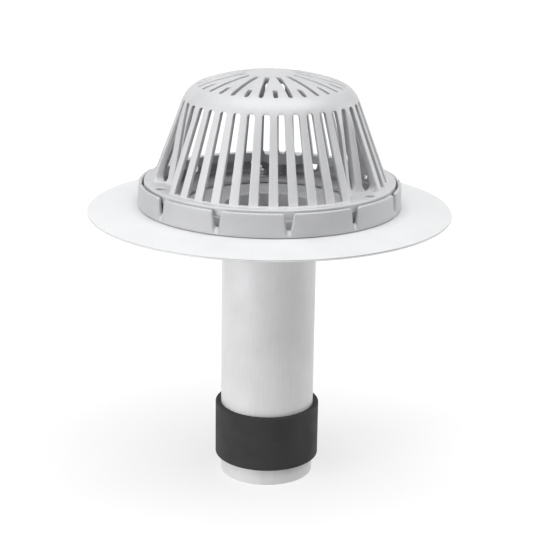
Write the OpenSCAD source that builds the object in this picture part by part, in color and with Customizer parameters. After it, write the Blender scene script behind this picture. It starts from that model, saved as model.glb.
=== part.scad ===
// Insert drain for a flat roof: a clad sheet flange welded to a long stem with a pipe
// seal, and on it a cast clamping ring and a cast slotted strainer dome.
// The origin is on the axis of the stem at the flat underside of the flange, where
// it meets the roof deck. +Z is up, and the front looks along -Y.

/* [Flange and stem] */
// Outside diameter of the stem
stem_od = 95.25; // [80:0.25:110]
// Wall of the stem
stem_wall = 2.4; // [1.6:0.1:4]
// Length of the stem below the flange
stem_length = 283.7; // [200:1:400]
// Outside diameter of the flange
flange_od = 362; // [330:1:420]
// Thickness of the flange sheet
flange_t = 1.5; // [1:0.1:3]
// Fall of the flange from its flat seat to its rim
rim_drop = 4.8; // [1:0.1:8]
// Leg of the weld bead under the flange
weld_leg = 4; // [2:0.5:6]
// Clearance of the stem in the hole of the flange, on the radius
weld_gap = 0.1; // [0.05:0.05:0.3]
// Rounding of the mouth of the stem
mouth_r = 1; // [0.5:0.1:2]

/* [Flange cladding] */
// Thickness of the cladding
cladding_t = 0.8; // [0.5:0.1:2]
// Width of the cladding under the foot of the clamping ring
cladding_lap = 39; // [30:1:43]

/* [Clamping ring] */
// Outside diameter of the clamping ring at its foot
ring_od = 262; // [240:1:300]
// Width of the flat foot of the clamping ring
foot_w = 45; // [40:1:52]
// Thickness of the foot
foot_t = 3.5; // [3:0.1:5]
// Height of the clamping ring
ring_h = 23.5; // [21:0.5:30]
// Thickness of the upright wall of the clamping ring
ring_wall = 3.4; // [2.6:0.1:5]
// Draft of the outside of the wall, in degrees
ring_draft = 2; // [0:0.5:3]
// Rounding of the lip
lip_r = 1.2; // [0.6:0.1:1.3]
// Rounding inside the root of the wall
root_r = 2.5; // [2:0.5:6]
// Number of weep notches in the wall
notch_count = 12; // [6:1:16]
// Width of a weep notch
notch_w = 9; // [6:0.5:12]
// Height of the bottom of a notch above the foot
notch_sill = 0.5; // [0.3:0.1:2]
// Fall of the drain channel in the floor of a notch, in degrees
notch_fall = 12; // [6:1:20]
// Rounding of the lip beside a notch
notch_corner_r = 2.5; // [1:0.5:4]
// Direction of the first notch, in degrees from the front
notch_start = 8; // [0:1:29]

/* [Hold-down studs] */
// Diameter of a stud
stud_d = 8; // [6:0.5:10]
// Distance of the studs from the inner edge of the foot
stud_inset = 14; // [12:0.5:16]
// Turn of the studs from the dome screws, in degrees
stud_turn = 11; // [9:1:30]
// Clearance of a stud hole in the foot and the cladding, on the diameter
stud_clearance = 1; // [0.4:0.1:1.6]
// Height of the raised pad under a washer
spot_h = 1.5; // [0.5:0.1:3]
// Outside diameter of a washer
washer_od = 16; // [14:0.5:20]
// Thickness of a washer
washer_t = 1.6; // [1:0.1:2.5]
// Width of a nut across its flats
nut_af = 13; // [11:0.5:15]
// Height of a nut
nut_h = 6.5; // [5:0.5:8]
// Length of stud that stands above its nut
stud_proud = 3; // [1:0.5:5]

/* [Strainer dome] */
// Height of the seat of the dome above the clamping seat
dome_seat = 17; // [14:0.5:18.5]
// Thickness of the base flange of the dome
base_t = 8.5; // [7.5:0.5:11]
// Gap between the base flange and the wall of the clamping ring
base_gap = 1.9; // [1:0.1:4]
// Width of the ledge outside the slotted wall
base_ledge = 8.3; // [7:0.1:11]
// Rounding of the top edge of the base flange
base_edge = 1; // [0.5:0.1:2]
// Height of the dome above its base flange
dome_rise = 107; // [100:1:120]
// Lean of the slotted wall from upright, in degrees
wall_lean = 20.7; // [17:0.1:22]
// Thickness of the casting
casting_t = 4; // [3:0.1:5]
// Radius of the crown of the dome
crown_r = 220; // [190:1:260]
// Rounding between the crown and the wall
shoulder_r = 28.5; // [22:0.5:32]

/* [Wall slots] */
// Slots between one dome screw and the next
slots_per_bay = 13; // [9:1:15]
// Share of the pitch taken by a slot
slot_share = 0.5; // [0.4:0.01:0.55]
// Sill of the slots above the base flange
slot_sill = 0.8; // [0.5:0.1:4]
// Sill of the slot in the middle of a screw recess above the base flange
recess_sill = 3.5; // [2:0.5:12]
// Height of the top of the slots above the base flange
slot_top = 80.5; // [70:0.5:82]
// Rounding of the top corners of a slot
slot_corner_r = 2; // [1:0.1:2.4]
// Turn of the slots and the recesses from the dome screws, in degrees
slot_turn = -2.7; // [-4:0.1:4]

/* [Crown slots] */
// Number of long crown slots, with as many short ones between
crown_slots = 16; // [10:1:18]
// Width of a crown slot
crown_slot_w = 4.4; // [3:0.1:5]
// Distance of the outer end of the crown slots from the axis
crown_slot_out = 73; // [64:0.5:75]
// Length of a long crown slot
long_slot = 48; // [30:1:50]
// Length of a short crown slot
short_slot = 15; // [8:0.5:20]
// Direction of the first long crown slot, in degrees from the front
crown_start = -7.6; // [-11:0.1:11]

/* [Dome screws] */
// Direction of the first dome screw, in degrees from the front
screw_start = 55.3; // [40:0.1:60]
// Diameter of a dome screw
screw_d = 5; // [4:0.5:6]
// Diameter of a screw head
screw_head_d = 8.6; // [8:0.1:9.5]
// Height of a screw head
screw_head_h = 3.2; // [2.5:0.1:4]
// Width of the hexagon socket across its flats
socket_af = 3; // [2:0.5:4]
// Depth of the screw recess bored in the base flange
counterbore_h = 6; // [4.5:0.5:6.5]
// Clearance round a screw head, on the diameter
head_clearance = 1.2; // [0.6:0.1:2]
// Clearance of a screw in its hole through the dome, on the diameter
screw_clearance = 0.6; // [0.2:0.1:1]
// Clearance of a screw in its tapped hole, on the diameter
thread_clearance = 0.2; // [0.1:0.05:0.4]
// Length of thread in the ring
screw_grip = 10; // [6:0.5:12]
// Outside diameter of a screw post on the ring
post_d = 13; // [11:0.5:16]
// Radius of the recess in the wall round a screw
recess_r = 27.5; // [22:0.5:29]
// Depth of the recess behind the screw
recess_back = 14.5; // [11:0.5:17]
// Lean of the recess from upright, in degrees
recess_lean = 10; // [7:0.5:13]

/* [Pipe seal] */
// Thickness of the seal
seal_t = 5.8; // [4:0.1:9]
// Height of the seal
seal_h = 57; // [30:1:80]
// Height of the seal above the end of the stem
seal_rise = 18; // [5:1:40]
// Rounding of the edges of the seal
seal_edge = 1; // [0.3:0.1:2]
// Clearance between the seal and the stem, on the radius
seal_fit = 0.1; // [0.05:0.05:0.3]

/* [Hidden] */
$fn = 120;

cut = 1;                                       // overrun of every cutter
stem_r = stem_od / 2;
ring_r = ring_od / 2;
flat_r = ring_r + 3;                           // end of the flat seat of the flange
rim_r = flange_od / 2;
rim_steps = 6;
seat_z = flange_t + cladding_t;                // top of the cladding under the ring
cladding_in = ring_r - cladding_lap;
foot_in = ring_r - foot_w;
wall_in = ring_r - ring_wall - ring_h * tan(ring_draft);
stud_r = foot_in + stud_inset;
stud_hole = stud_d + stud_clearance;
foot_z = seat_z + foot_t;                      // top of the foot
lip_z = seat_z + ring_h;                       // top of the ring
washer_z = foot_z + spot_h;
nut_z = washer_z + washer_t;
stud_z = nut_z + nut_h + stud_proud;
dome_z = seat_z + dome_seat;                   // underside of the base flange
base_z = dome_z + base_t;                      // top of the base flange
base_r = wall_in - base_gap;
skirt_r = base_r - base_ledge;                 // outside of the wall at the base flange
screw_r = skirt_r - 1;
head_z = base_z - counterbore_h;

// Slotted wall, shoulder and crown of the dome as one run of tangent curves
apex_z = base_z + dome_rise;
crown_z = apex_z - crown_r;                    // centre of the crown
wall_n = [cos(wall_lean), sin(wall_lean)];     // outward normal of the wall
wall_k = skirt_r * wall_n[0] + base_z * wall_n[1] - shoulder_r;
foot_pt = wall_k * wall_n;
run = [-wall_n[1], wall_n[0]];
lead = foot_pt[0] * run[0] + (foot_pt[1] - crown_z) * run[1];
span = pow(foot_pt[0], 2) + pow(foot_pt[1] - crown_z, 2) - pow(crown_r - shoulder_r, 2);
shoulder_c = foot_pt + (sqrt(lead * lead - span) - lead) * run;
shoulder_a = atan2(shoulder_c[1] - crown_z, shoulder_c[0]);

function polar(r, a) = [r * cos(a), r * sin(a)];
function arc(c, r, a0, a1, steps = 6) = [
    for (i = [0 : steps]) c + polar(r, a0 + (a1 - a0) * i / steps)
];
function around(a) = a - 90;                   // directions are counted from the front
function fall(r) = r < flat_r ? 0 : rim_drop * pow((r - flat_r) / (rim_r - flat_r), 2);
function rim_line(z) = [
    for (i = [0 : rim_steps])
        let (r = flat_r + (rim_r - flat_r) * i / rim_steps) [r, z - fall(r)]
];
function reversed(list) = [for (i = [len(list) - 1 : -1 : 0]) list[i]];
function screw_a(i) = around(screw_start + i * 120);
function slot_a(i) = screw_a(i) + slot_turn;
function stud_a(i) = around(screw_start + stud_turn + i * 120);

// Sheet flange with its weld bead round the stem
module roof_flange() {
    hole_r = stem_r + weld_gap;
    color("silver") rotate_extrude()
        polygon(concat([[hole_r, flange_t]], rim_line(flange_t), reversed(rim_line(0)),
            [[hole_r + weld_leg, 0], [hole_r, -weld_leg]]));
}

// Tube flush with the top of the flange
module stem_pipe() {
    bore_r = stem_r - stem_wall;
    color("silver") rotate_extrude() difference() {
        translate([bore_r, -stem_length]) square([stem_wall, stem_length + flange_t]);
        translate([bore_r, flange_t]) difference() {
            square(2 * mouth_r, center = true);
            translate([mouth_r, -mouth_r]) circle(mouth_r);
        }
    }
}

module flange_cladding() {
    color("white") difference() {
        rotate_extrude()
            polygon(concat([[cladding_in, seat_z]], rim_line(seat_z),
                reversed(rim_line(flange_t)), [[cladding_in, flange_t]]));
        for (i = [0 : 2])
            translate(concat(polar(stud_r, stud_a(i)), flange_t - cut))
                cylinder(d = stud_hole, h = cladding_t + 2 * cut);
    }
}

module pipe_seal() {
    bore = stem_r + seal_fit;
    outer = stem_r + seal_t;
    low = seal_rise - stem_length;
    color("#3d3d3f") rotate_extrude()
        polygon([[bore, low], [outer - seal_edge, low], [outer, low + seal_edge],
            [outer, low + seal_h - seal_edge], [outer - seal_edge, low + seal_h],
            [bore, low + seal_h]]);
}

module ring_section() {
    lip_out = ring_r - ring_h * tan(ring_draft);
    low_z = lip_z - lip_r;
    translate([foot_in, seat_z]) square([ring_r - foot_in - cut, foot_t]);
    polygon([[wall_in, seat_z], [ring_r, seat_z], [lip_out, low_z], [lip_out - lip_r, low_z],
        [lip_out - lip_r, lip_z], [wall_in + lip_r, lip_z], [wall_in + lip_r, low_z],
        [wall_in, low_z]]);
    translate([lip_out - lip_r, low_z]) circle(lip_r);
    translate([wall_in + lip_r, low_z]) circle(lip_r);
    difference() {
        translate([wall_in - root_r, foot_z - cut]) square(root_r + cut);
        translate([wall_in - root_r, foot_z + root_r]) circle(root_r);
    }
}

// Outline of a weep notch, as seen from outside the ring
module notch_outline() {
    low_r = notch_w / 4;
    low = foot_z + notch_sill + low_r;
    side = notch_w / 2 + notch_corner_r;
    polygon(concat([[-side, lip_z + cut]],
        arc([-side, lip_z - notch_corner_r], notch_corner_r, 90, 0),
        arc([0, low], low_r, 180, 360),
        arc([side, lip_z - notch_corner_r], notch_corner_r, 180, 90),
        [[side, lip_z + cut]]));
}

// Channel that falls outward through the wall at the bottom of a notch
module notch_channel() {
    channel_r = 0.85 * notch_w / 4;
    reach = ring_r - wall_in + 3 * cut;
    translate([wall_in - cut, 0, foot_z + notch_sill]) rotate([0, notch_fall, 0])
        rotate([90, 0, 90]) linear_extrude(reach) {
            translate([0, channel_r]) circle(channel_r);
            translate([-channel_r, channel_r]) square([2 * channel_r, channel_r]);
        }
}

module clamping_ring() {
    notch_in = wall_in - root_r - cut;
    color("gainsboro") difference() {
        union() {
            rotate_extrude() ring_section();
            for (i = [0 : 2]) rotate(screw_a(i)) {
                translate([screw_r, 0, foot_z - cut])
                    cylinder(d = post_d, h = dome_z - foot_z + cut);
                translate([screw_r, -post_d / 3, foot_z - cut])
                    cube([wall_in - screw_r + cut, 2 * post_d / 3, dome_z - foot_z - cut]);
            }
            for (i = [0 : 2]) rotate(stud_a(i))
                translate([stud_r, 0, foot_z - cut])
                    cylinder(d = washer_od + 2, h = spot_h + cut);
        }
        for (i = [0 : notch_count - 1]) rotate(around(notch_start + i * 360 / notch_count)) {
            translate([notch_in, 0, 0]) rotate([90, 0, 90])
                linear_extrude(ring_r - notch_in + cut) notch_outline();
            notch_channel();
        }
        for (i = [0 : 2]) rotate(screw_a(i))
            translate([screw_r, 0, dome_z - screw_grip - 2])
                cylinder(d = screw_d + thread_clearance, h = screw_grip + 2 + cut);
        for (i = [0 : 2]) rotate(stud_a(i))
            translate([stud_r, 0, seat_z - cut])
                cylinder(d = stud_hole, h = foot_t + spot_h + 2 * cut);
    }
}

module ring_stud(i) {
    tip = 1;
    color("lightgray") translate(concat(polar(stud_r, stud_a(i)), flange_t)) {
        cylinder(d = stud_d, h = stud_z - flange_t - tip);
        translate([0, 0, stud_z - flange_t - tip])
            cylinder(d1 = stud_d, d2 = stud_d - 2 * tip, h = tip);
    }
}

module ring_washer(i) {
    color("lightgray") translate(concat(polar(stud_r, stud_a(i)), washer_z))
        difference() {
            cylinder(d = washer_od, h = washer_t);
            translate([0, 0, -cut]) cylinder(d = stud_hole - 0.4, h = washer_t + 2 * cut);
        }
}

module ring_nut(i) {
    color("lightgray") translate(concat(polar(stud_r, stud_a(i)), nut_z)) difference() {
        cylinder(d = nut_af / cos(30), h = nut_h, $fn = 6);
        translate([0, 0, -cut]) cylinder(d = stud_d + thread_clearance, h = nut_h + 2 * cut);
    }
}

// Half section of the dome without its base flange, moved in by a wall thickness
module dome_section(inset) {
    corner = (shoulder_r + 30) * 2;
    foot = skirt_r - inset / wall_n[0];
    head = foot - (apex_z - base_z) * tan(wall_lean);
    low = dome_z - cut;
    flare = (base_z - low) * tan(wall_lean);
    difference() {
        intersection() {
            translate([0, crown_z]) circle(crown_r - inset, $fn = 720);
            polygon([[0, low], [foot + flare, low], [head, apex_z], [0, apex_z]]);
        }
        difference() {
            polygon([shoulder_c, shoulder_c + polar(corner, shoulder_a),
                shoulder_c + polar(corner * 2, (shoulder_a + wall_lean) / 2),
                shoulder_c + polar(corner, wall_lean)]);
            translate(shoulder_c) circle(shoulder_r - inset);
        }
    }
}

module base_section() {
    translate([0, dome_z]) polygon([[0, 0], [base_r, 0], [base_r, base_t - base_edge],
        [base_r - base_edge, base_t - base_edge], [base_r - base_edge, base_t], [0, base_t]]);
    translate([base_r - base_edge, base_z - base_edge]) circle(base_edge);
}

// Leaning round recess that clears a dome screw
module recess(i, r, low) {
    back = screw_r - recess_back;
    rotate(slot_a(i)) translate([back + recess_r, 0, base_z])
        rotate([0, -recess_lean, 0]) translate([0, 0, low])
            cylinder(r = r, h = dome_rise * 1.3);
}

// Slot with rounded top corners, and with a round bottom inside a recess
module wall_slot(in_recess, sill) {
    low = base_z + sill;
    high = base_z + slot_top;
    pitch = 360 / (3 * slots_per_bay);
    half_low = skirt_r * tan(pitch * slot_share / 2);
    half_high = (skirt_r - slot_top * tan(wall_lean)) * tan(pitch * slot_share / 2);
    straight = in_recess ? low + half_low : low;
    rotate([90, 0, 90]) translate([0, 0, skirt_r / 2]) linear_extrude(skirt_r / 2 + 3) {
        polygon([[-half_low, straight], [half_low, straight],
            [half_high, high - slot_corner_r], [half_high - slot_corner_r, high],
            [slot_corner_r - half_high, high], [-half_high, high - slot_corner_r]]);
        if (in_recess) translate([0, straight]) circle(half_low);
        for (side = [-1, 1])
            translate([side * (half_high - slot_corner_r), high - slot_corner_r])
                circle(slot_corner_r);
    }
}

module crown_slot(length) {
    r = crown_slot_w / 2;
    translate([crown_slot_out - length + r, -r, base_z + slot_top])
        cube([length - 2 * r, 2 * r, dome_rise]);
    for (x = [crown_slot_out - length + r, crown_slot_out - r])
        translate([x, 0, base_z + slot_top]) cylinder(r = r, h = dome_rise);
}

module strainer_dome() {
    bay = 120 / slots_per_bay;
    color("gainsboro") difference() {
        union() {
            rotate_extrude() dome_section(0);
            rotate_extrude() base_section();
        }
        difference() {
            union() {
                rotate_extrude() dome_section(casting_t);
                translate([0, 0, dome_z - cut])
                    cylinder(r = skirt_r - casting_t / wall_n[0], h = base_t + cut);
            }
            for (i = [0 : 2]) recess(i, recess_r + casting_t, -base_t - 10);
        }
        translate([0, 0, dome_z - 3 * cut]) cylinder(r = base_r + 20, h = 3 * cut);
        for (i = [0 : 2]) intersection() {
            recess(i, recess_r, -10);
            translate([0, 0, base_z]) cylinder(r = base_r + 30, h = dome_rise);
        }
        for (i = [0 : 2]) rotate(slot_a(i)) for (k = [0 : slots_per_bay - 1])
            rotate(k * bay)
                wall_slot(min(k, slots_per_bay - k) < 2, k == 0 ? recess_sill : slot_sill);
        for (i = [0 : crown_slots - 1]) rotate(around(crown_start + i * 360 / crown_slots)) {
            crown_slot(long_slot);
            rotate(180 / crown_slots) crown_slot(short_slot);
        }
        for (i = [0 : 2]) rotate(screw_a(i)) translate([screw_r, 0, 0]) {
            translate([0, 0, dome_z - cut])
                cylinder(d = screw_d + screw_clearance, h = base_t + 2 * cut);
            translate([0, 0, head_z])
                cylinder(d = screw_head_d + head_clearance, h = counterbore_h + cut);
        }
    }
}

module dome_screw(i) {
    color("lightgray") translate(concat(polar(screw_r, screw_a(i)), 0)) difference() {
        union() {
            translate([0, 0, dome_z - screw_grip])
                cylinder(d = screw_d, h = head_z - dome_z + screw_grip);
            translate([0, 0, head_z]) cylinder(d = screw_head_d, h = screw_head_h);
        }
        translate([0, 0, head_z + screw_head_h / 3])
            cylinder(d = socket_af / cos(30), h = screw_head_h, $fn = 6);
    }
}

roof_flange();
stem_pipe();
flange_cladding();
pipe_seal();
clamping_ring();
ring_stud(0);  // ring_stud_1
ring_stud(1);  // ring_stud_2
ring_stud(2);  // ring_stud_3
ring_washer(0);  // ring_washer_1
ring_washer(1);  // ring_washer_2
ring_washer(2);  // ring_washer_3
ring_nut(0);  // ring_nut_1
ring_nut(1);  // ring_nut_2
ring_nut(2);  // ring_nut_3
strainer_dome();
dome_screw(0);  // dome_screw_1
dome_screw(1);  // dome_screw_2
dome_screw(2);  // dome_screw_3
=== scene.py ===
import math

import bmesh
import bpy
from mathutils import Matrix, Vector


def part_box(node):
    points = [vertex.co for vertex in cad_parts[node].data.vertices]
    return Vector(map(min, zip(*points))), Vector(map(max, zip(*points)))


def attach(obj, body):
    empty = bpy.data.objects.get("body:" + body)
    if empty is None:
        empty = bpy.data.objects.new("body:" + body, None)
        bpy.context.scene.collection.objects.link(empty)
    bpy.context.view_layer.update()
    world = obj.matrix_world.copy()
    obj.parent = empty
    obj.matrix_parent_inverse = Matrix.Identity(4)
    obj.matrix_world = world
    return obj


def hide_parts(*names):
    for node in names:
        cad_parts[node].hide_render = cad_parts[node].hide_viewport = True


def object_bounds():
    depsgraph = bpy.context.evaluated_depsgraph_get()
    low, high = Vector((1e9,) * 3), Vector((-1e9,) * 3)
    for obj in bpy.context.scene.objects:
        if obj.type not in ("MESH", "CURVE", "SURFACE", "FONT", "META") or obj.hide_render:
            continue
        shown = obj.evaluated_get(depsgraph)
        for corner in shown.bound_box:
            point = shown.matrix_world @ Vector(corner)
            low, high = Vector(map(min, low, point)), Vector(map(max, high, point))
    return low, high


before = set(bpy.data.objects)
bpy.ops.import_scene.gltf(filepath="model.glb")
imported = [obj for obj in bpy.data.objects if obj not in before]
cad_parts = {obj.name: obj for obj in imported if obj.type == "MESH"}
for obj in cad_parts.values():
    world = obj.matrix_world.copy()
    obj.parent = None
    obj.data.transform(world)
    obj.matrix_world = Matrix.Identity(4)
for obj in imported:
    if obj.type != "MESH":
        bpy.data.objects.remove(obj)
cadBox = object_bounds()
mm = 0.001
scene = bpy.context.scene
print("frame loaded:", len(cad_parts), "nodes")


cameraSet = {
    "place": (0.0013, -1.41352, 0.36995),  # in metres, in the frame of the drain
    "pitch": 17.2,                         # degrees below the horizon
    "roll": 0.8,
    "lens": 97.36,
    "sensor": 36,
}


def makeCamera(s):
    data = bpy.data.cameras.new("camera")
    data.lens = s["lens"]
    data.sensor_width = s["sensor"]
    camera = bpy.data.objects.new("camera", data)
    scene.collection.objects.link(camera)
    pitch = Matrix.Rotation(math.radians(90 - s["pitch"]), 4, "X")
    roll = Matrix.Rotation(math.radians(s["roll"]), 4, "Z")
    camera.matrix_world = Matrix.Translation(s["place"]) @ (pitch @ roll)
    scene.camera = camera


makeCamera(cameraSet)
print("camera set")


lightSet = {
    "skyStrength": 0.05,                   # what the world gives the object
    "lamps": {                             # strength, then width, turn and height in degrees
        "key": (1.58, 32, -55, 11),
        "top": (3.12, 78, -6, 78),
        "fill": (0.50, 50, 75, 52),
        "rim": (0.84, 24, 112, 8),
        "side": (0.42, 30, -104, 12),
    },
    "floorColor": 0.36,
    "floorLift": 0.62,                     # glow that brings the floor up to white
    "floorRadius": 60,                     # metres
}


def newNode(tree, kind, inputs=None, **values):
    # the inputs are plain values, or sockets of other nodes to link from
    node = tree.nodes.new(kind)
    for name, value in values.items():
        setattr(node, name, value)
    for name, value in (inputs or {}).items():
        if isinstance(value, bpy.types.NodeSocket):
            tree.links.new(value, node.inputs[name])
        else:
            node.inputs[name].default_value = value
    return node


def softSun(name, strength, width, turn, height):
    data = bpy.data.lights.new(name, "SUN")
    data.energy = strength
    data.angle = math.radians(width)
    lamp = bpy.data.objects.new(name, data)
    scene.collection.objects.link(lamp)
    a, e = math.radians(turn), math.radians(height)
    towards = Vector((math.sin(a) * math.cos(e), -math.cos(a) * math.cos(e), math.sin(e)))
    lamp.location = towards * 3
    lamp.rotation_euler = towards.to_track_quat("Z", "Y").to_euler()


def seenDirectly(tree):
    # 1 where the camera, a reflection or a view through glass looks at it
    ray = newNode(tree, "ShaderNodeLightPath").outputs
    plain = newNode(tree, "ShaderNodeMath", {0: ray["Is Camera Ray"], 1: ray["Is Glossy Ray"]},
                    operation="MAXIMUM")
    every = newNode(tree, "ShaderNodeMath", {0: plain.outputs[0], 1: ray["Is Transmission Ray"]},
                    operation="MAXIMUM")
    return every.outputs[0]


def makeWorld(s):
    world = bpy.data.worlds.new("studio")
    scene.world = world
    world.use_nodes = True
    tree = world.node_tree
    tree.nodes.clear()
    sky = newNode(tree, "ShaderNodeBackground", {"Color": (1, 1, 1, 1), "Strength": s["skyStrength"]})
    white = newNode(tree, "ShaderNodeBackground", {"Color": (1, 1, 1, 1), "Strength": 1})
    mix = newNode(tree, "ShaderNodeMixShader",
                  {0: seenDirectly(tree), 1: sky.outputs[0], 2: white.outputs[0]})
    newNode(tree, "ShaderNodeOutputWorld", {"Surface": mix.outputs[0]})


def makeFloor(s):
    bm = bmesh.new()
    bmesh.ops.create_circle(bm, cap_ends=True, segments=64, radius=s["floorRadius"])
    bmesh.ops.translate(bm, verts=bm.verts, vec=(0, 0, cadBox[0].z))
    mesh = bpy.data.meshes.new("floor")
    bm.to_mesh(mesh)
    bm.free()
    floor = bpy.data.objects.new("floor", mesh)
    scene.collection.objects.link(floor)
    material = bpy.data.materials.new("paleFloor")
    material.use_nodes = True
    tree = material.node_tree
    shader = tree.nodes["Principled BSDF"]
    tone = s["floorColor"]
    shader.inputs["Base Color"].default_value = (tone, tone, tone, 1)
    shader.inputs["Roughness"].default_value = 0.9
    shader.inputs["Specular IOR Level"].default_value = 0
    shader.inputs["Emission Strength"].default_value = s["floorLift"]
    tree.links.new(seenDirectly(tree), shader.inputs["Emission Color"])
    mesh.materials.append(material)


makeWorld(lightSet)
for lampName, lamp in lightSet["lamps"].items():
    softSun(lampName + "Lamp", *lamp)
makeFloor(lightSet)
print("light and floor set")


finishSet = {                              # depth in metres, grain in cells per metre
    # the last value of each finish paints a lighter highlight along its edges
    "castMetal": {
        "color": (0.495, 0.497, 0.506), "metallic": 0.2, "roughness": 0.52, "spread": 0.10,
        "grain": 900, "depth": 0.00010, "variation": 0.05, "streak": (1, 1, 1), "gleam": 0.5,
    },
    # the same cast metal as the dome, painted a little darker as shade on the ring's upright faces
    "ringMetalShaded": {
        "color": (0.465, 0.467, 0.477), "metallic": 0.2, "roughness": 0.52, "spread": 0.10,
        "grain": 900, "depth": 0.00010, "variation": 0.05, "streak": (1, 1, 1), "gleam": 0.5,
    },
    "spunMetal": {
        "color": (0.785, 0.785, 0.795), "metallic": 0.2, "roughness": 0.42, "spread": 0.08,
        "grain": 700, "depth": 0.00004, "variation": 0.04, "streak": (1, 1, 0.06), "gleam": 0.3,
    },
    "whiteSheet": {
        "color": (0.64, 0.645, 0.651), "metallic": 0, "roughness": 0.55, "spread": 0.08,
        "grain": 500, "depth": 0.00003, "variation": 0.03, "streak": (1, 1, 1), "gleam": 0,
    },
    "sealRubber": {
        "color": (0.017, 0.017, 0.018), "metallic": 0, "roughness": 0.8, "spread": 0.15,
        "grain": 650, "depth": 0.00020, "variation": 0.25, "streak": (1, 1, 1), "gleam": 0.2,
    },
    "brightSteel": {
        "color": (0.62, 0.62, 0.63), "metallic": 1, "roughness": 0.28, "spread": 0.12,
        "grain": 1200, "depth": 0.00003, "variation": 0.08, "streak": (1, 1, 0.2), "gleam": 0.4,
    },
}


def addSocket(group, name, kind, value):
    group.interface.new_socket(name=name, in_out="INPUT", socket_type=kind).default_value = value


def makeGrainGroup():
    # fine grain, slow mottling and a painted highlight along the edges, all from the piece's own
    # coordinates
    group = bpy.data.node_groups.new("surfaceGrain", "ShaderNodeTree")
    addSocket(group, "Color", "NodeSocketColor", (0.8, 0.8, 0.8, 1))
    addSocket(group, "Streak", "NodeSocketVector", (1, 1, 1))
    for name, value in (("Grain", 900), ("Depth", 0.0001), ("Variation", 0.05),
                        ("Roughness", 0.5), ("Spread", 0.1), ("Gleam", 0.3)):
        addSocket(group, name, "NodeSocketFloat", value)
    for name, kind in (("Color", "NodeSocketColor"), ("Roughness", "NodeSocketFloat"),
                       ("Normal", "NodeSocketVector")):
        group.interface.new_socket(name=name, in_out="OUTPUT", socket_type=kind)
    given = newNode(group, "NodeGroupInput").outputs

    place = newNode(group, "ShaderNodeTexCoord").outputs["Object"]
    stretch = newNode(group, "ShaderNodeVectorMath", {0: place, 1: given["Streak"]},
                      operation="MULTIPLY")
    fine = newNode(group, "ShaderNodeTexNoise",
                   {"Vector": stretch.outputs[0], "Scale": given["Grain"], "Detail": 3})
    slow = newNode(group, "ShaderNodeTexNoise", {"Vector": place, "Scale": 28, "Detail": 4})

    # mottling from -1 to 1 and specks from -0.5 to 0.5, together a factor on the colour
    mottle = newNode(group, "ShaderNodeMapRange", {"Value": slow.outputs["Fac"], "From Min": 0.3,
                                                   "From Max": 0.7, "To Min": -1, "To Max": 1})
    speck = newNode(group, "ShaderNodeMapRange", {"Value": fine.outputs["Fac"], "From Min": 0.35,
                                                  "From Max": 0.65, "To Min": -0.5, "To Max": 0.5})
    slowTone = newNode(group, "ShaderNodeMath", {0: mottle.outputs[0], 1: given["Variation"], 2: 1},
                       operation="MULTIPLY_ADD")
    tone = newNode(group, "ShaderNodeMath",
                   {0: speck.outputs[0], 1: given["Variation"], 2: slowTone.outputs[0]},
                   operation="MULTIPLY_ADD")
    tinted = newNode(group, "ShaderNodeVectorMath", {0: given["Color"], "Scale": tone.outputs[0]},
                     operation="SCALE")

    # painted highlight: edges come out a little brighter, in patches, and smoother
    soft = newNode(group, "ShaderNodeBevel", {"Radius": 0.0008}, samples=4)
    flat = newNode(group, "ShaderNodeNewGeometry").outputs["Normal"]
    agree = newNode(group, "ShaderNodeVectorMath", {0: soft.outputs[0], 1: flat},
                    operation="DOT_PRODUCT")
    edge = newNode(group, "ShaderNodeMapRange",
                   {"Value": agree.outputs["Value"], "From Min": 0.98, "From Max": 0.80})
    patchy = newNode(group, "ShaderNodeMath", {0: edge.outputs[0], 1: slow.outputs["Fac"]},
                     operation="MULTIPLY")
    gleamMask = newNode(group, "ShaderNodeMath", {0: patchy.outputs[0], 1: given["Gleam"]},
                   operation="MULTIPLY")
    # a mix has its two colours in the sockets 6 and 7
    brighter = newNode(group, "ShaderNodeMix",
                       {"Factor": gleamMask.outputs[0], 6: tinted.outputs[0], 7: (0.95, 0.95, 0.95, 1)},
                       data_type="RGBA")

    rough = newNode(group, "ShaderNodeMath",
                    {0: mottle.outputs[0], 1: given["Spread"], 2: given["Roughness"]},
                    operation="MULTIPLY_ADD")
    gleamRoughness = newNode(group, "ShaderNodeMath", {0: gleamMask.outputs[0], 1: -0.15, 2: rough.outputs[0]},
                     operation="MULTIPLY_ADD", use_clamp=True)
    bump = newNode(group, "ShaderNodeBump", {"Strength": 0.6, "Distance": given["Depth"],
                                             "Height": fine.outputs["Fac"], "Normal": soft.outputs[0]})
    newNode(group, "NodeGroupOutput", {"Color": brighter.outputs[2], "Roughness": gleamRoughness.outputs[0],
                                       "Normal": bump.outputs[0]})
    return group


grainGroup = makeGrainGroup()


def makeFinish(name, s):
    material = bpy.data.materials.new(name)
    material.use_nodes = True
    tree = material.node_tree
    shader = tree.nodes["Principled BSDF"]
    shader.inputs["Metallic"].default_value = s["metallic"]
    grain = newNode(tree, "ShaderNodeGroup", node_tree=grainGroup)
    grain.inputs["Color"].default_value = (*s["color"], 1)
    for key in ("streak", "grain", "depth", "variation", "roughness", "spread", "gleam"):
        grain.inputs[key.capitalize()].default_value = s[key]
    for socket, target in (("Color", "Base Color"), ("Roughness", "Roughness"), ("Normal", "Normal")):
        tree.links.new(grain.outputs[socket], shader.inputs[target])
    return material


finishes = {name: makeFinish(name, s) for name, s in finishSet.items()}
print("finishes made")


def boxOf(node):
    # low and high corner of a plain solid, in millimetres
    return [[c / mm for c in corner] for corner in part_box(node)]


def middle(node):
    # place of a small upright piece, seen from above
    low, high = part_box(node)
    return (low.x + high.x) / 2 / mm, (low.y + high.y) / 2 / mm


def arcPoints(center, radius, start, end, steps):
    points = []
    for i in range(steps + 1):
        a = math.radians(start + (end - start) * i / steps)
        points.append((center[0] + radius * math.cos(a), center[1] + radius * math.sin(a)))
    return points


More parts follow.
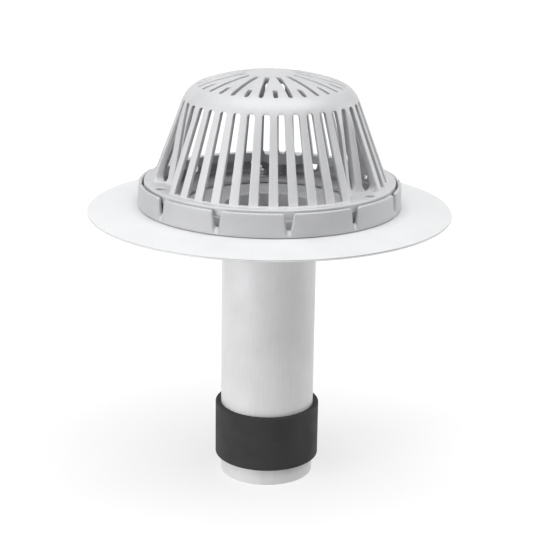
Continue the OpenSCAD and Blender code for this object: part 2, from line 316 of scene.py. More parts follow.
def spunShape(outline, steps, closed=True, place=(0, 0)):
    # the outline is (radius, height) in millimetres, and each vertex keeps the number of its point
    bm = bmesh.new()
    row = bm.verts.layers.int.new("row")
    x, y = place[0] * mm, place[1] * mm
    verts = []
    for i, (r, z) in enumerate(outline):
        v = bm.verts.new((x + r * mm, y, z * mm))
        v[row] = i
        verts.append(v)
    pairs = list(zip(verts, verts[1:]))
    if closed:
        pairs.append((verts[-1], verts[0]))
    edges = [bm.edges.new(pair) for pair in pairs]
    bmesh.ops.spin(bm, geom=verts + edges, cent=(x, y, 0), axis=(0, 0, 1), angle=math.tau,
                   steps=steps, use_merge=True)
    bmesh.ops.remove_doubles(bm, verts=bm.verts, dist=1e-7)
    bmesh.ops.recalc_face_normals(bm, faces=bm.faces)
    return bm


def newPiece(name, bm, finish, smoothAngle=35):
    mesh = bpy.data.meshes.new(name)
    bm.to_mesh(mesh)
    bm.free()
    mesh.polygons.foreach_set("use_smooth", [True] * len(mesh.polygons))
    mesh.set_sharp_from_angle(angle=math.radians(smoothAngle))
    mesh.materials.append(finishes[finish])
    piece = bpy.data.objects.new(name, mesh)
    scene.collection.objects.link(piece)
    return piece


def standFor(piece, node):
    # the piece takes the place of a plain solid
    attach(piece, "root")
    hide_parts(node)


def boolean(piece, bm, operation):
    # joins or cuts with a second closed shape, and keeps the result as the mesh
    mesh = bpy.data.meshes.new("tool")
    bm.to_mesh(mesh)
    bm.free()
    tool = bpy.data.objects.new("tool", mesh)
    scene.collection.objects.link(tool)
    modifier = piece.modifiers.new("join", "BOOLEAN")
    modifier.operation = operation
    modifier.solver = "EXACT"
    modifier.object = tool
    ready = piece.evaluated_get(bpy.context.evaluated_depsgraph_get())
    result = bpy.data.meshes.new_from_object(ready)
    result.name = piece.data.name
    piece.modifiers.clear()
    piece.data = result
    bpy.data.objects.remove(tool)
    bpy.data.meshes.remove(mesh)


def merged(shapes):
    # several separate shapes in one bmesh
    total = bmesh.new()
    for bm in shapes:
        mesh = bpy.data.meshes.new("part")
        bm.to_mesh(mesh)
        bm.free()
        total.from_mesh(mesh)
        bpy.data.meshes.remove(mesh)
    return total


overcut = 2                                # how far a drill reaches past the metal, in millimetres


def drill(place, radius, low, high, steps):
    # plain closed cylinder that cuts a hole
    return spunShape([(0, low), (radius, low), (radius, high), (0, high)], steps, False, place)


ringSet = {                                # millimetres and degrees, as on the casting
    "footHeight": 3.5,
    "height": 23.5,
    "wall": 3.4,
    "draft": 2,                            # both sides of the wall lean in by this
    "lipRadius": 1.2,
    "rootRadius": 2.5,                     # fillet between the wall and the foot
    "footWidth": 45,
    "footEdge": 0.5,
    "footInnerEdge": 0.8,
    "footGap": 0.6,                        # the foot stands clear of the sheet along its edge
    "footRelief": 2.2,                     # and over this width
    "notches": 12,
    "notchStart": 8,
    "notchWidth": 9,
    "notchSill": 0.5,
    "notchCorner": 2.5,
    "notchFall": 56.8,                     # the floor of a notch falls steeply to the outside
    "notchRise": 4.2,                      # height that it reaches inside
    "postRadius": 6.5,
    "postFlare": 0.6,
    "padRadius": 9,
    "padHeight": 1.5,
    "topEdge": 0.4,                        # chamfer of the posts and the pads
    "roundColumns": 48,                    # and their columns of faces
    "webDrop": 2,                          # from the top of a post to the web behind it
    "sink": 1,                             # depth of posts, pads and webs in the metal they join
    "tapRadius": 2.6,
    "tapDepth": 12,
    "tapColumns": 32,
    "studHole": 4.5,                       # radius, the same in the cladding
    "studColumns": 40,
}
ringBox = boxOf("clamping_ring")
domeBox = boxOf("strainer_dome")
ringR = ringBox[1][0]
seatZ = ringBox[0][2]
footZ = seatZ + ringSet["footHeight"]
lipZ = ringBox[1][2]
domeZ = domeBox[0][2]
baseR = domeBox[1][0]
ringDraft = math.tan(math.radians(ringSet["draft"]))
wallIn = ringR - ringSet["wall"] - ringSet["height"] * ringDraft
screwPlaces = [middle("dome_screw_%d" % (i + 1)) for i in range(3)]
studPlaces = [middle("ring_washer_%d" % (i + 1)) for i in range(3)]


def notchEdge(s, x, fall):
    # height of a notch's outline at a column, and the direction from the opening into the metal
    lowR = s["notchWidth"] / 4
    corner = s["notchCorner"]
    side = s["notchWidth"] / 2 + corner
    if x >= side:
        return lipZ, (0, -1)
    if x <= lowR:
        rise = math.sqrt(lowR ** 2 - x ** 2)
        return footZ + s["notchSill"] + lowR - fall - rise, (x / lowR, -rise / lowR)
    rise = math.sqrt(max(corner ** 2 - (side - x) ** 2, 0))
    return lipZ - corner + rise, ((side - x) / corner, -rise / corner)


def ringOutline(s):
    # section of the ring, from the inner edge of the foot outwards and back over the lip
    lip, root = s["lipRadius"], s["rootRadius"]
    lipOut = ringR - s["height"] * ringDraft
    footIn = ringR - s["footWidth"]
    edge, inner = s["footEdge"], s["footInnerEdge"]
    gapZ = seatZ + s["footGap"]
    relief = ringR - s["footRelief"]
    outline = [(footIn + 0.5, seatZ), (relief, seatZ), (relief + 0.2, gapZ)]
    outline += arcPoints((ringR - edge, gapZ + edge), edge, -90, 0, 3)
    # the straight stretches get a few rows, which the notches bend
    for z in (footZ, footZ + 3, footZ + 7, footZ + 11, footZ + 15):
        outline.append((ringR - (z - seatZ) * ringDraft, z))
    outline += arcPoints((lipOut - lip, lipZ - lip), lip, 0, 90, 5)
    outline += arcPoints((wallIn + lip, lipZ - lip), lip, 90, 180, 5)
    outline += [(wallIn, footZ + 13), (wallIn, footZ + 8)]
    outline += arcPoints((wallIn - root, footZ + root), root, 0, -90, 6)
    outline += [(wallIn - root - 9, footZ), (footIn + 18, footZ), (footIn + 2, footZ)]
    outline += arcPoints((footIn + inner, footZ - inner), inner, 90, 180, 3)
    outline.append((footIn, seatZ + 0.5))
    return outline


def notchedWall(s):
    # the spun ring, with its rows lowered and its columns drawn together at every notch
    lip = s["lipRadius"]
    period = math.pi * ringR * 2 / s["notches"]
    # distances of the columns from the middle of a notch, close together at its edge
    places = [0, 0.9, 1.6, 2.05, s["notchWidth"] / 4, 4.5, 4.75, 5.3, 6.1, 7, 11, 16, 22, 28, period / 2]
    half = len(places) - 1
    columns = 2 * half * s["notches"]
    bm = spunShape(ringOutline(s), columns)
    step = math.tau / columns
    start = math.radians(s["notchStart"])
    slope = math.tan(math.radians(s["notchFall"]))
    for v in bm.verts:
        r = math.hypot(v.co.x, v.co.y) / mm
        column = round(math.atan2(v.co.y, v.co.x) / step) % columns
        notch = (column + half - 1) // (2 * half)
        k = column - notch * 2 * half
        x = places[abs(k)]
        z = v.co.z / mm
        outer = r > wallIn + s["wall"] / 2
        base = seatZ + s["footGap"] + s["footEdge"] if outer else footZ
        if z > base + 0.01:
            rim, away = notchEdge(s, x, max(r - wallIn, 0) * slope - s["notchRise"])
            soft = min(lip, (rim - base) * 0.8)
            below = lipZ - z
            if below < lip + 0.01:
                lower = rim + away[1] * below * soft / lip
                x += away[0] * below * soft / lip
            else:
                share = (z - base) / (lipZ - lip - base)
                lower = base + share * (rim + away[1] * soft - base)
                x += away[0] * soft * share ** 2
            if outer:
                r += (z - lower) * ringDraft
            z = lower
        a = start + notch * math.tau / s["notches"] + math.copysign(x, k) / ringR
        v.co = (r * mm * math.sin(a), -r * mm * math.cos(a), z * mm)
    bmesh.ops.recalc_face_normals(bm, faces=bm.faces)
    return bm


def makeWeb(s, x, y):
    # block that ties a post to the wall, two thirds as wide as the post
    web = bmesh.new()
    bmesh.ops.create_cube(web, size=1)
    low, high = footZ - s["sink"], domeZ - s["webDrop"]
    near, far = math.hypot(x, y), wallIn + s["sink"]
    bmesh.ops.scale(web, vec=(s["postRadius"] * 4 / 3 * mm, (far - near) * mm, (high - low) * mm),
                    verts=web.verts)
    bmesh.ops.translate(web, vec=(0, -(near + far) / 2 * mm, (low + high) / 2 * mm), verts=web.verts)
    bmesh.ops.rotate(web, cent=(0, 0, 0), verts=web.verts,
                     matrix=Matrix.Rotation(math.atan2(x, -y), 3, "Z"))
    return web


def makeRing(s):
    # the ring gets the darker copy of the cast metal, which is painted shade
    ring = newPiece("clamping_ring_cast", notchedWall(s), "ringMetalShaded")
    low, edge = footZ - s["sink"], s["topEdge"]
    radius, flare = s["postRadius"], s["postFlare"]
    post = [(0, low), (radius + flare, low), (radius + flare, footZ + flare),
            (radius, footZ + 1 + flare), (radius, domeZ - edge), (radius - edge, domeZ), (0, domeZ)]
    radius, padZ = s["padRadius"], footZ + s["padHeight"]
    pad = [(0, low), (radius, low), (radius, padZ - edge), (radius - edge, padZ), (0, padZ)]
    webs = [makeWeb(s, x, y) for x, y in screwPlaces]
    posts = [spunShape(post, s["roundColumns"], False, place) for place in screwPlaces]
    pads = [spunShape(pad, s["roundColumns"], False, place) for place in studPlaces]
    for shapes in (webs, posts, pads):
        boolean(ring, merged(shapes), "UNION")
    tapZ = domeZ - s["tapDepth"]
    holes = [drill(place, s["tapRadius"], tapZ, domeZ + overcut, s["tapColumns"])
             for place in screwPlaces]
    holes += [drill(place, s["studHole"], seatZ - overcut, padZ + overcut, s["studColumns"])
              for place in studPlaces]
    boolean(ring, merged(holes), "DIFFERENCE")
    standFor(ring, "clamping_ring")


makeRing(ringSet)
print("clamping ring cast")


domeSet = {                                # millimetres and degrees, as on the casting
    "baseHeight": 8.5,
    "baseEdge": 1,
    "underEdge": 0.4,
    "ledge": 8.3,                          # width of the base flange outside the wall
    "lean": 20.7,                          # of the wall, inwards
    "wall": 4,
    "crownRadius": 220,
    "shoulderRadius": 28.5,
    "shoulderRows": (33, 39, 46, 53),      # directions of the rows of faces in the shoulder
    "slots": 39,
    "slotSill": 0.8,                       # height of a slot's lower end above the flange
    "recessSill": 3.5,                     # and in the middle of a screw recess
    "slotTop": 80.5,
    "slotCorner": 2,
    "slotTurn": -2.7,                      # from the dome screws
    "crownSlots": 32,                      # long and short ones in turn
    "crownSlotWidth": 4.4,
    "crownSlotOut": 73,                    # radius at which they all end
    "longSlot": 48,
    "shortSlot": 15,
    "crownStart": -7.6,
    "crownRows": (0, 8, 16, 22, 34, 42, 50, 55.5, 65.5, 76.5),
    "recessRadius": 27.5,
    "recessBack": 15.5,                    # from the foot of the wall inwards
    "recessLean": 10,
    "recessEdge": 2.5,                     # softness where the recess meets the wall
    "screwHole": 2.8,
    "headHole": 4.9,
    "headHoleEdge": 0.5,
    "headDepth": 6,
    "holeColumns": 48,
    "slotEdge": 0.55,                      # rounding of the slot edges
}
perSlot = 12                               # columns from slot to slot, of which a slot takes six
screwTurn = math.atan2(screwPlaces[0][0], -screwPlaces[0][1])
wallStart = screwTurn + math.radians(domeSet["slotTurn"])
crownStart = math.radians(domeSet["crownStart"])


def domeForm(s):
    # section of the casting: a crown, a shoulder that meets it and a leaning wall
    lean = math.radians(s["lean"])
    form = {
        "normal": (math.cos(lean), math.sin(lean)),
        "baseZ": domeZ + s["baseHeight"],
        "skirtR": baseR - s["ledge"],
        "apexZ": domeBox[1][2],
    }
    form["crownZ"] = form["apexZ"] - s["crownRadius"]
    # the shoulder's centre runs along the wall to where its arc touches the crown
    n = form["normal"]
    k = form["skirtR"] * n[0] + form["baseZ"] * n[1] - s["shoulderRadius"]
    foot = (k * n[0], k * n[1])
    lead = -foot[0] * n[1] + (foot[1] - form["crownZ"]) * n[0]
    reach = s["crownRadius"] - s["shoulderRadius"]
    span = foot[0] ** 2 + (foot[1] - form["crownZ"]) ** 2 - reach ** 2
    run = math.sqrt(lead ** 2 - span) - lead
    form["shoulder"] = (foot[0] - n[1] * run, foot[1] + n[0] * run)
    sx, sz = form["shoulder"]
    form["crownEnd"] = math.degrees(math.atan2(sz - form["crownZ"], sx))
    return form


def crownHeight(s, form, r, inset):
    # height of the crown or the shoulder above a radius
    sx, sz = form["shoulder"]
    radius = s["crownRadius"] - inset
    if r <= radius * math.cos(math.radians(form["crownEnd"])):
        return form["crownZ"] + math.sqrt(radius ** 2 - r ** 2)
    return sz + math.sqrt((s["shoulderRadius"] - inset) ** 2 - (r - sx) ** 2)


def wallRadius(s, form, z, inset):
    # radius of the wall or the shoulder at a height
    sx, sz = form["shoulder"]
    n = form["normal"]
    radius = s["shoulderRadius"] - inset
    if z > sz + radius * n[1]:
        return sx + math.sqrt(radius ** 2 - (z - sz) ** 2)
    return form["skirtR"] - inset / n[0] - (z - form["baseZ"]) * n[1] / n[0]


def recessFace(s, form, turn, z, inset):
    # distance from the axis to a screw recess, a leaning cylinder, or None beside it
    lean = math.radians(s["recessLean"])
    start = form["skirtR"] - s["recessBack"] + s["recessRadius"]
    center = start - (z - form["baseZ"]) * math.tan(lean)
    squash = math.cos(lean) ** 2
    ca, sa = math.cos(turn), math.sin(turn)
    a = squash * ca ** 2 + sa ** 2
    b = -2 * center * squash * ca
    c = center ** 2 * squash - (s["recessRadius"] + inset) ** 2
    root = b * b - 4 * a * c
    return (-b - math.sqrt(root)) / (2 * a) if root > 0 else None


def softLeast(a, b, soft):
    # smaller of two radii with a rounded change between them
    mix = max(soft - abs(a - b), 0) / soft
    return min(a, b) - mix * mix * soft / 4


def makeCrown(s, form):
    # upper part, in columns that crowd round the crown slots
    half = s["crownSlotWidth"] / 2
    out = s["crownSlotOut"] - half
    longIn, shortIn = s["crownSlotOut"] - s["longSlot"] + half, s["crownSlotOut"] - s["shortSlot"] + half
    rows = sorted(s["crownRows"] + (longIn, shortIn, out))
    columns = perSlot * s["crownSlots"]
    pitch = math.tau / s["crownSlots"]
    bm = bmesh.new()
    for inset in (0, s["wall"]):
        outline = [(r, crownHeight(s, form, r, inset)) for r in rows]
        skin = spunShape(outline, columns, False)
        row = skin.verts.layers.int["row"]
        for v in skin.verts:
            i = v[row]
            r = rows[i]
            if i == 0:
                continue
            column = round(math.atan2(v.co.y, v.co.x) / (math.tau / columns)) % columns
            slot = (column + perSlot // 2 - 1) // perSlot
            k = column - slot * perSlot
            isLong = slot % 2 == 0
            near = max(r, longIn if isLong else shortIn)
            edge = math.asin(half / min(near, out)) if r <= out else math.asin(half / out)
            # half a slot is three columns wide, which stand 30 degrees apart in its round end
            corner = math.radians(30 * min(abs(k), 3))
            share = math.sin(corner)
            bulge = half * math.cos(corner)
            if abs(k) <= 3:
                turn = edge * share
            else:
                turn = edge + (pitch / 2 - edge) * (abs(k) - 3) / 3
            if i == rows.index(out):
                r += bulge
            if i == rows.index(longIn if isLong else shortIn):
                r -= bulge
            a = crownStart + slot * pitch + math.copysign(turn, k)
            z = crownHeight(s, form, r, inset)
            v.co = (r * mm * math.sin(a), -r * mm * math.cos(a), z * mm)
        cut = []
        for f in skin.faces:
            low = min(v[row] for v in f.verts)
            center = f.calc_center_median()
            a = (math.atan2(center.x, -center.y) - crownStart) / pitch
            slot = round(a)
            inner = rows.index(longIn if slot % 2 == 0 else shortIn)
            r = center.xy.length / mm
            wide = abs(a - slot) * pitch * r
            if inner <= low < rows.index(out) and wide < half:
                cut.append(f)
        bmesh.ops.delete(skin, geom=cut, context="FACES")
        mesh = bpy.data.meshes.new("skin")
        skin.to_mesh(mesh)
        skin.free()
        bm.from_mesh(mesh)
        bpy.data.meshes.remove(mesh)
    return bm


def makeWall(s, form):
    # lower part and the base flange, one closed run from the outer shoulder round to the inner one
    baseZ = form["baseZ"]
    sx, sz = form["shoulder"]
    columns = perSlot * s["slots"]
    pitch = math.tau / s["slots"]
    perBay = s["slots"] // 3
    half = form["skirtR"] * math.tan(pitch / 4)
    sillRow = baseZ + s["slotSill"]
    sideRow = sillRow + half
    middleRow = baseZ + s["recessSill"] + half
    top = baseZ + s["slotTop"]
    topRow = top - s["slotCorner"]
    levels = [sillRow, sideRow] + [middleRow + (topRow - middleRow) * i / 12 for i in range(13)]
    arcs = s["shoulderRows"]
    # rows: kind, value, and 1 on the inner skin; they run down the outer skin and up the inner one
    rows = [("arc", a, 0) for a in reversed(arcs)] + [("wall", z, 0) for z in reversed(levels)]
    # a small fillet at the foot of the wall, then the top of the flange
    rows += [("foot", 0.35, 0), ("foot", 0, 0)] + [("ledge", t, 0) for t in (0.25, 0.5, 0.75, 1)]
    edge, under = s["baseEdge"], s["underEdge"]
    rim = arcPoints((baseR - edge, baseZ - edge), edge, 72, 0, 4)
    rim += [(baseR, domeZ + under), (baseR - under, domeZ)]
    rows += [("rim", p, 0) for p in rim]
    rows += [("under", t, 0) for t in (0.75, 0.5, 0.25)]
    rows += [("inner", domeZ, 0), ("inner", (domeZ + baseZ) / 2, 0)]
    rows += [("wall", z, 1) for z in levels] + [("arc", a, 1) for a in arcs]
    # a plain pipe of that many rows, whose vertices all get their place below
    bm = spunShape([(baseR, -i) for i in range(len(rows))], columns, False)
    row = bm.verts.layers.int["row"]
    endR = form["skirtR"] - s["slotTop"] * math.tan(math.radians(s["lean"]))
    topHalf = half * endR / form["skirtR"]     # half the width of a slot at its top

    def slotSide(slot):
        # 0 in the middle of a recess, 1 beside it, more on the plain wall
        k = slot % perBay
        return min(k, perBay - k)

    def sillFor(slot, k):
        # row at which a slot starts, and the height of its edge in a column
        side = slotSide(slot)
        if side > 1 or abs(k) > 3:
            return sillRow, sillRow
        base = middleRow if side == 0 else sideRow
        return base, base - math.sqrt(max(half ** 2 - (half * k / 3) ** 2, 0))

    def skinRadius(turn, z, inner):
        # radius of the outer or inner skin with the screw recesses in it
        inset = s["wall"] * inner
        plain = wallRadius(s, form, max(z, baseZ) if inner else z, inset)
        face = recessFace(s, form, turn, z, inset)
        if face is None or z > top:
            return plain
        return softLeast(plain, face, s["recessEdge"])

    for v in bm.verts:
        column = round(math.atan2(v.co.y, v.co.x) / (math.tau / columns)) % columns
        slot = (column + perSlot // 2 - 1) // perSlot
        k = column - slot * perSlot
        a = wallStart + slot * pitch + pitch * k / perSlot
        bay = round((a - wallStart) / (math.tau / 3))
        turn = a - wallStart - bay * math.tau / 3
        kind, value, inner = rows[v[row]]
        if kind == "arc":
            radius = s["shoulderRadius"] - s["wall"] * inner
            angle = math.radians(value)
            r, z = sx + radius * math.cos(angle), sz + radius * math.sin(angle)
        elif kind == "wall":
            z = value
            base, edgeZ = sillFor(slot, k)
            if z <= base:
                z = baseZ + (z - baseZ) * (edgeZ - baseZ) / (base - baseZ)
            if value == levels[-1] and abs(k) <= 3:
                past = max(abs(k) / 3 * topHalf - topHalf + s["slotCorner"], 0)
                z += math.sqrt(max(s["slotCorner"] ** 2 - past ** 2, 0))
            r = skinRadius(turn, z, inner)
        elif kind == "inner":
            z = value
            r = skinRadius(turn, z, 1)
        elif kind in ("foot", "ledge"):
            foot = skinRadius(turn, baseZ + s["slotSill"], 0) + s["slotSill"]
            if kind == "foot":
                r, z = foot - value * s["slotSill"] * 1.6, baseZ + value * s["slotSill"]
            else:
                r, z = foot + (baseR - edge - foot) * value, baseZ
        elif kind == "rim":
            r, z = value
        else:
            inside = skinRadius(turn, domeZ, 1)
            r, z = inside + (baseR - under - inside) * value, domeZ
        v.co = (r * mm * math.sin(a), -r * mm * math.cos(a), z * mm)

    cut = []
    for f in bm.faces:
        kinds = [rows[v[row]] for v in f.verts]
        if any(kind[0] != "wall" for kind in kinds):
            continue
        center = f.calc_center_median()
        a = (math.atan2(center.x, -center.y) - wallStart) / pitch
        slot = round(a)
        if abs(a - slot) < 0.25 and min(kind[1] for kind in kinds) >= sillFor(slot, 0)[0] - 0.001:
            cut.append(f)
    bmesh.ops.delete(bm, geom=cut, context="FACES")
    return bm


def joinSlots(bm, s, form):
    # walls of every slot between the outer and the inner skin, then the seam under the shoulder
    groups = {}
    for e in bm.edges:
        if not e.is_boundary:
            continue
        center = (e.verts[0].co + e.verts[1].co) / 2
        r, z = center.xy.length / mm, center.z / mm
        a = math.atan2(center.x, -center.y)
        if z < form["baseZ"] + s["slotTop"] + 0.5:
            key = ("wall", round((a - wallStart) / (math.tau / s["slots"])) % s["slots"])
        elif r < s["crownSlotOut"] + 0.5:
            key = ("crown", round((a - crownStart) / (math.tau / s["crownSlots"])) % s["crownSlots"])
        else:
            sx, sz = form["shoulder"]
            far = math.hypot(r - sx, z - sz) > s["shoulderRadius"] - s["wall"] / 2
            key = ("seam", far)
        groups.setdefault(key, []).append(e)
    rims = []
    for key in sorted(groups):
        loops = groups[key]
        bmesh.ops.bridge_loops(bm, edges=loops)
        if key[0] != "seam":
            rims += loops
    return rims


def makeDome(s):
    form = domeForm(s)
    bm = merged([makeCrown(s, form), makeWall(s, form)])
    rims = joinSlots(bm, s, form)
    bmesh.ops.recalc_face_normals(bm, faces=bm.faces)
    bmesh.ops.bevel(bm, geom=rims, offset=s["slotEdge"] * mm, offset_type="OFFSET", segments=2,
                    profile=0.5, affect="EDGES", clamp_overlap=False, material=-1)
    dome = newPiece("strainer_dome_cast", bm, "castMetal")
    shank, head, edge = s["screwHole"], s["headHole"], s["headHoleEdge"]
    low, baseZ = domeZ - overcut, form["baseZ"]
    headZ = baseZ - s["headDepth"]
    # stepped hole, with a chamfer that runs out 1 mm above the flange
    hole = [(0, low), (shank, low), (shank, headZ), (head, headZ), (head, baseZ - edge),
            (head + edge + 1, baseZ + 1), (0, baseZ + 1)]
    holes = [spunShape(hole, s["holeColumns"], False, place) for place in screwPlaces]
    boolean(dome, merged(holes), "DIFFERENCE")
    standFor(dome, "strainer_dome")


makeDome(domeSet)
print("strainer dome cast")


flangeSet = {                              # millimetres
    "flatPast": 3,                         # how far the flat seat runs past the clamping ring
    "rimEdge": 0.6,
    "holeGap": 0.1,                        # room round the stem, on the radius
    "holeEdge": 0.3,
    "bead": 4,                             # leg of the weld bead under the sheet
    "beadBulge": 0.7,
    "beadRows": 8,
    "ripple": 0.16,
    "ripples": 132,
    "rippleBend": 1.2,                     # how far a ripple curves, in radians of its wave
    "columns": 528,
}
flangeBox = boxOf("roof_flange")
stemBox = boxOf("stem_pipe")
rimR = flangeBox[1][0]
sheetZ = flangeBox[1][2]
stemR = stemBox[1][0]
flatR = ringR + flangeSet["flatPast"]
rimDrop = -flangeBox[0][2]


def rimFall(r):
    # how far the sheet has fallen at a radius
    return rimDrop * (max(r - flatR, 0) / (rimR - flatR)) ** 2


def fallingLine(start, end, z, steps):
    # line along the sheet, which falls towards its rim
    points = []
    for i in range(steps + 1):
        r = start + (end - start) * i / steps
        points.append((r, z - rimFall(r)))
    return points


def makeFlange(s):
    hole = stemR + s["holeGap"]
    edge = s["rimEdge"]
    outline = [(hole, sheetZ - s["holeEdge"]), (hole + s["holeEdge"], sheetZ), (ringR, sheetZ)]
    outline += fallingLine(flatR, rimR - edge, sheetZ, 12)
    outline += arcPoints((rimR - edge, sheetZ - edge - rimFall(rimR - edge)), edge, 60, 0, 2)
    outline += arcPoints((rimR - edge, edge - rimFall(rimR - edge)), edge, 0, -60, 2)
    outline += fallingLine(rimR - edge, flatR, 0, 12)
    outline.append((hole + s["bead"] + 1.5, 0))
    beadFirst = len(outline)
    for i in range(s["beadRows"] + 1):
        along = i / s["beadRows"]
        bulge = s["beadBulge"] * math.sin(math.pi * along)
        outline.append((hole + s["bead"] * (1 - along) + bulge, -s["bead"] * along - bulge))
    bm = spunShape(outline, s["columns"])
    row = bm.verts.layers.int["row"]
    for v in bm.verts:
        along = (v[row] - beadFirst) / s["beadRows"]
        if 0 < along < 1:
            turn = math.atan2(v.co.y, v.co.x)
            # every pass of the torch leaves a curved ripple
            swell = math.sin(math.pi * along)
            wave = math.cos(turn * s["ripples"] + s["rippleBend"] * swell)
            out = s["ripple"] * swell * wave * mm
            v.co += Vector((math.cos(turn) * out, math.sin(turn) * out, -out))
    standFor(newPiece("roof_flange_sheet", bm, "spunMetal"), "roof_flange")


makeFlange(flangeSet)
print("flange spun and welded")


stemSet = {
    "wall": 2.4,
    "mouth": 1,                            # rounding of the mouth at the flange
    "endEdge": 0.3,
    "columns": 144,
}


def makeStem(s):
    low, high = stemBox[0][2], stemBox[1][2]
    bore = stemR - s["wall"]
    mouth, edge = s["mouth"], s["endEdge"]
    outline = [(bore, low + edge), (bore + edge, low), (stemR - edge, low), (stemR, low + edge)]
    outline += [(stemR, low + (high - low) * i / 24) for i in range(1, 24)]
    outline += [(stemR, high - edge), (stemR - edge, high)]
    outline += arcPoints((bore + mouth, high - mouth), mouth, 90, 180, 4)
    outline += [(bore, low + (high - low) * i / 6) for i in range(5, 0, -1)]
    bm = spunShape(outline, s["columns"])
    standFor(newPiece("stem_pipe_tube", bm, "spunMetal"), "stem_pipe")


makeStem(stemSet)
print("stem made")


claddingSet = {
    "lap": 39,                             # under the clamping ring
    "edge": 0.25,
    "columns": 288,
}


def makeCladding(s):
    start = ringR - s["lap"]
    _, (end, _, high) = boxOf("flange_cladding")
    low, edge = sheetZ, s["edge"]
    outline = [(start, low), (start, high - edge), (start + edge, high), (ringR, high)]
    outline += fallingLine(flatR, end - edge, high, 14)
    outline += [(end, high - edge - rimFall(end)), (end, low - rimFall(end))]
    outline += fallingLine(end - edge, flatR, low, 14) + [(ringR, low)]
    bm = spunShape(outline, s["columns"])
    cladding = newPiece("flange_cladding_sheet", bm, "whiteSheet")
    hole, columns = ringSet["studHole"], ringSet["studColumns"]
    holes = [drill(place, hole, sheetZ - overcut, seatZ + overcut, columns) for place in studPlaces]
    boolean(cladding, merged(holes), "DIFFERENCE")
    standFor(cladding, "flange_cladding")


makeCladding(claddingSet)
print("cladding laid")


sealSet = {
    "fit": 0.1,                            # over the stem, on the radius
    "edge": 1.1,
    "boreEdge": 0.3,
    "columns": 160,
}


def makeSeal(s):
    (_, _, low), (outer, _, high) = boxOf("pipe_seal")
    bore = stemR + s["fit"]
    edge, inner = s["edge"], s["boreEdge"]
    outline = [(bore, low + inner), (bore + inner, low), ((bore + outer) / 2, low)]
    outline += arcPoints((outer - edge, low + edge), edge, -90, 0, 5)
    outline += [(outer, low + edge + (high - low - 2 * edge) * i / 14) for i in range(1, 14)]
    outline += arcPoints((outer - edge, high - edge), edge, 0, 90, 5)
    outline += [((bore + outer) / 2, high), (bore + inner, high), (bore, high - inner)]
    outline += [(bore, low + (high - low) * i / 4) for i in (3, 2, 1)]
    bm = spunShape(outline, s["columns"])
    standFor(newPiece("pipe_seal_band", bm, "sealRubber"), "pipe_seal")


makeSeal(sealSet)
print("pipe seal made")


studSet = {                                # millimetres, with radii for crest and root
    "pitch": 1.25,
    "crest": 4,
    "root": 3.3,
    "taper": 1,                            # chamfer of the tip
    "columns": 24,
}


def makeStud(s, node, place):
    (_, _, low), (_, _, high) = boxOf(node)
    pitch = s["pitch"]
    turns = math.ceil((high - low) / pitch) + 2
    bm = bmesh.new()
    x, y = place[0] * mm, place[1] * mm
    start = low - pitch
    # one turn of the thread: root, flank, crest, flank and root
    form = [(s["root"], 0), (s["root"], 0.12), (s["crest"], 0.44), (s["crest"], 0.56), (s["root"], 0.88),
            (s["root"], 1)]
    verts = [bm.verts.new((x + r * mm, y, (start + z * pitch) * mm)) for r, z in form]
    edges = [bm.edges.new(pair) for pair in zip(verts, verts[1:])]
    bmesh.ops.spin(bm, geom=verts + edges, cent=(x, y, 0), axis=(0, 0, 1), angle=math.tau * turns,
                   steps=s["columns"] * turns, dvec=(0, 0, pitch * mm / s["columns"]))
    bmesh.ops.remove_doubles(bm, verts=bm.verts, dist=1e-6)
    for z, normal in ((low, (0, 0, -1)), (high, (0, 0, 1))):
        cut = bmesh.ops.bisect_plane(bm, geom=bm.verts[:] + bm.edges[:] + bm.faces[:], dist=1e-7,
                                     plane_co=(x, y, z * mm), plane_no=normal, clear_outer=True)
        rim = [e for e in cut["geom_cut"] if isinstance(e, bmesh.types.BMEdge)]
        bmesh.ops.holes_fill(bm, edges=rim, sides=0)
    # the tips are turned to a chamfer
    for v in bm.verts:
        depth = min(v.co.z / mm - low, high - v.co.z / mm)
        limit = s["crest"] - s["taper"] + max(depth, 0)
        r = math.hypot(v.co.x - x, v.co.y - y) / mm
        if r > limit:
            v.co.x = x + (v.co.x - x) * limit / r
            v.co.y = y + (v.co.y - y) * limit / r
    bmesh.ops.recalc_face_normals(bm, faces=bm.faces)
    standFor(newPiece(node + "_threaded", bm, "brightSteel", smoothAngle=50), node)


def hexRadius(flats, turn):
    # distance to the side of a hexagon that has a corner at a turn of 0
    sixth = math.radians(60)
    return flats / 2 / math.cos((turn % sixth) - sixth / 2)


nutSet = {
    "flats": 13,                           # width across
    "tap": 4.1,
    "tapEdge": 0.4,
    "chamfer": 30,                         # degrees
    "chamferStart": 0.95,                  # as a share of the flats
    "columns": 48,
}


def makeNut(s, node, place):
    (_, _, low), (_, _, high) = boxOf(node)
    tap, edge = s["tap"], s["tapEdge"]
    face = s["flats"] / 2 * s["chamferStart"]
    # points 3 and 4 are moved to the hexagon below
    outline = [(tap, low + edge), (tap + edge, low), (face, low), (face + 1, low + 1),
               (face + 1, high - 1), (face, high), (tap + edge, high), (tap, high - edge)]
    bm = spunShape(outline, s["columns"], True, place)
    row = bm.verts.layers.int["row"]
    x, y = place[0] * mm, place[1] * mm
    for v in bm.verts:
        if v[row] not in (3, 4):
            continue
        turn = math.atan2(v.co.y - y, v.co.x - x)
        r = hexRadius(s["flats"], turn)
        chamfer = (r - face) * math.tan(math.radians(s["chamfer"]))
        z = low + chamfer if v[row] == 3 else high - chamfer
        v.co = (x + r * mm * math.cos(turn), y + r * mm * math.sin(turn), z * mm)
    bmesh.ops.recalc_face_normals(bm, faces=bm.faces)
    standFor(newPiece(node + "_hex", bm, "brightSteel", smoothAngle=25), node)


washerSet = {
    "hole": 4.3,
    "holeEdge": 0.2,
    "edge": 0.25,
    "columns": 48,
}


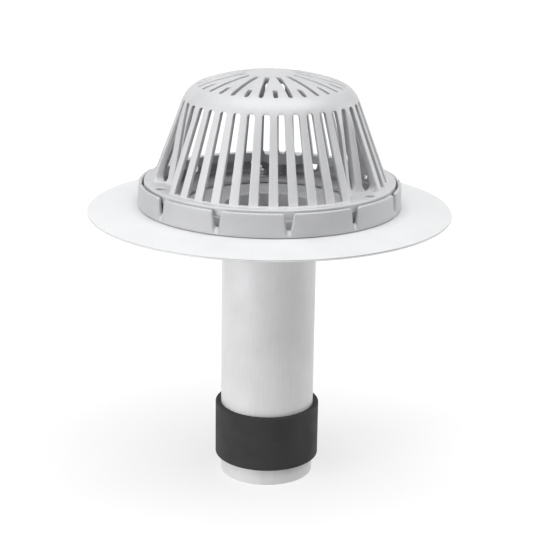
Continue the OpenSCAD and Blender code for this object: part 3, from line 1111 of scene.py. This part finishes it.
def makeWasher(s, node, place):
    (left, _, low), (right, _, high) = boxOf(node)
    outer = (right - left) / 2
    edge, hole, inner = s["edge"], s["hole"], s["holeEdge"]
    outline = [(hole, low), (outer - edge, low), (outer, low + edge), (outer, high - edge),
               (outer - edge * 0.3, high - edge * 0.3), (outer - edge, high), (hole + inner, high),
               (hole, high - inner)]
    bm = spunShape(outline, s["columns"], True, place)
    standFor(newPiece(node + "_disc", bm, "brightSteel"), node)


screwSet = {
    "radius": 2.5,
    "tipEdge": 0.7,
    "headHeight": 3.2,
    "headEdge": 0.45,
    "underEdge": 0.2,
    "socket": 3,                           # width across flats
    "socketEdge": 0.25,
    "socketDepth": 2.1,
    "socketPoint": 0.6,                    # cone that the drill leaves below it
    "columns": 48,
}


def makeDomeScrew(s, node, place):
    (left, _, low), (right, _, high) = boxOf(node)
    headR = (right - left) / 2
    radius, tip, edge, under = s["radius"], s["tipEdge"], s["headEdge"], s["underEdge"]
    headZ = high - s["headHeight"]
    socketR, rim, floorZ = s["socket"] / 2, s["socketEdge"], high - s["socketDepth"]
    outline = [(0, low), (radius - tip, low), (radius, low + tip), (radius, headZ),
               (headR - under, headZ), (headR, headZ + under)]
    outline += arcPoints((headR - edge, high - edge), edge, 0, 90, 4)
    outline += [(socketR + 3 * rim, high), (socketR + rim, high), (socketR, high - rim),
                (socketR, floorZ), (0, floorZ - s["socketPoint"])]
    bm = spunShape(outline, s["columns"], False, place)
    row = bm.verts.layers.int["row"]
    x, y = place[0] * mm, place[1] * mm
    last = len(outline) - 1                # the socket's three rows before it become hexagons
    for v in bm.verts:
        if last - 3 <= v[row] <= last - 1:
            turn = math.atan2(v.co.y - y, v.co.x - x)
            wide = s["socket"] + (2 * rim if v[row] == last - 3 else 0)
            r = hexRadius(wide, turn) * mm
            v.co.x = x + r * math.cos(turn)
            v.co.y = y + r * math.sin(turn)
    standFor(newPiece(node + "_socket", bm, "brightSteel"), node)


for i in range(3):
    number = "_%d" % (i + 1)
    makeStud(studSet, "ring_stud" + number, studPlaces[i])
    makeWasher(washerSet, "ring_washer" + number, studPlaces[i])
    makeNut(nutSet, "ring_nut" + number, studPlaces[i])
    makeDomeScrew(screwSet, "dome_screw" + number, screwPlaces[i])
print("studs, washers, nuts and dome screws made")


scene.view_settings.view_transform = "Standard"
